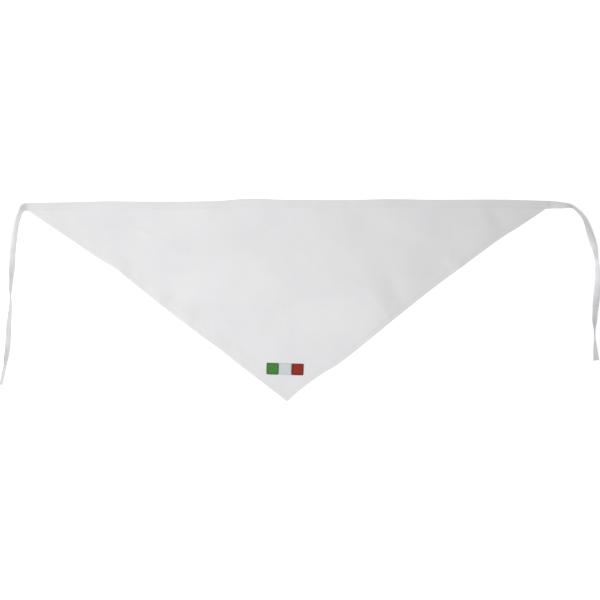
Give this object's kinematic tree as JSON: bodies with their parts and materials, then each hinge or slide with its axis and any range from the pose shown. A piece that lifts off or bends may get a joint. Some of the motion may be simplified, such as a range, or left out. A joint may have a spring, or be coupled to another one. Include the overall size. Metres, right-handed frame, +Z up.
{
  "type": "neckerchief",
  "caption": "Triangular white neckerchief laid flat, with a taped neck edge, hemmed sides, flat tape ties at the corners and a striped mark near its point.",
  "frame": {"origin": "on the resting surface, under the middle of the whole piece's box", "axes": "+X along the neck edge to the wearer's left as laid out, +Y from the point to the neck edge, +Z up out of the front of the cloth"},
  "size_m": [0.896, 0.3026, 0.0108],
  "materials": {
    "cloth": "white cotton twill, matt, lightly pressed",
    "tape": "white cotton tape, matt",
    "green_stripe": "green satin-stitched cloth",
    "white_stripe": "cool white satin-stitched cloth",
    "red_stripe": "red satin-stitched cloth"
  },
  "bodies": {
    "root": {"panel": "cloth", "hem_left": "cloth", "hem_right": "cloth", "neck_band": "tape", "tie_left": "tape", "tie_right": "tape", "stripe_green": "green_stripe", "stripe_white": "white_stripe", "stripe_red": "red_stripe"}
  },
  "joints": []
}
